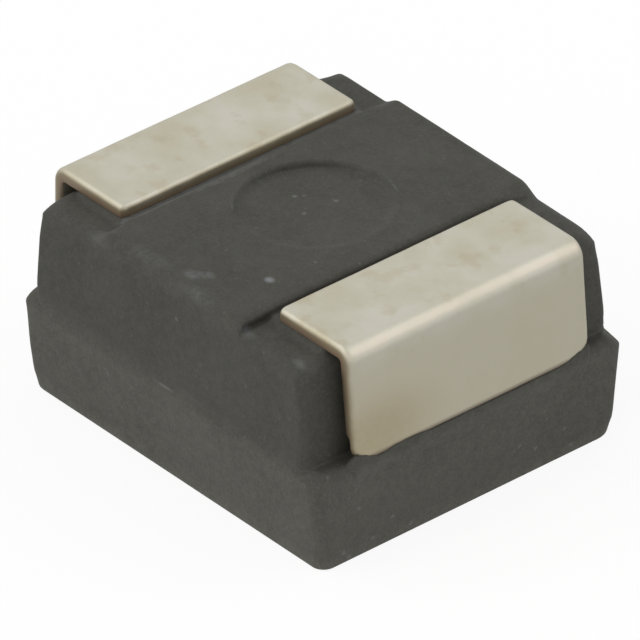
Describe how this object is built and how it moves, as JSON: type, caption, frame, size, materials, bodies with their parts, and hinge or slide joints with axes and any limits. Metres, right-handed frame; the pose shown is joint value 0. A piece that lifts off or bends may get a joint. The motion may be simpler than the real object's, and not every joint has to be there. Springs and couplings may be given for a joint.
{
  "type": "tantalum capacitor",
  "caption": "Moulded surface-mount tantalum chip capacitor with terminals bent over both ends onto its mounting face, built with the sintered element inside.",
  "frame": {"origin": "middle of the marked face, which is the face the part lies on in the picture", "axes": "+X towards the anode end along the length, +Y across the width, +Z from the marked face towards the solder feet; turn the part half a turn about Y to mount it on a board"},
  "size_m": [0.0034, 0.0028, 0.0018],
  "materials": {
    "moulded_case": "moulded filled epoxy, finely grained",
    "anode_terminal": "matt tin plating over a copper alloy strip, bare at the cut edges",
    "cathode_terminal": "matt tin plating over a copper alloy strip, bare at the cut edges",
    "tantalum_pellet": "sintered powder, matt and porous",
    "anode_wire": "drawn tantalum wire",
    "wire_washer": "white fluoropolymer",
    "manganese_dioxide_coat": "baked oxide, matt",
    "graphite_coat": "dipped graphite, matt",
    "silver_coat": "dipped silver paint, matt",
    "silver_adhesive": "cured silver-filled adhesive"
  },
  "bodies": {
    "root": {"moulded_case": "moulded_case", "anode_terminal": "anode_terminal", "cathode_terminal": "cathode_terminal", "tantalum_pellet": "tantalum_pellet", "anode_wire": "anode_wire", "wire_washer": "wire_washer", "manganese_dioxide_coat": "manganese_dioxide_coat", "graphite_coat": "graphite_coat", "silver_coat": "silver_coat", "silver_adhesive": "silver_adhesive"}
  },
  "joints": []
}
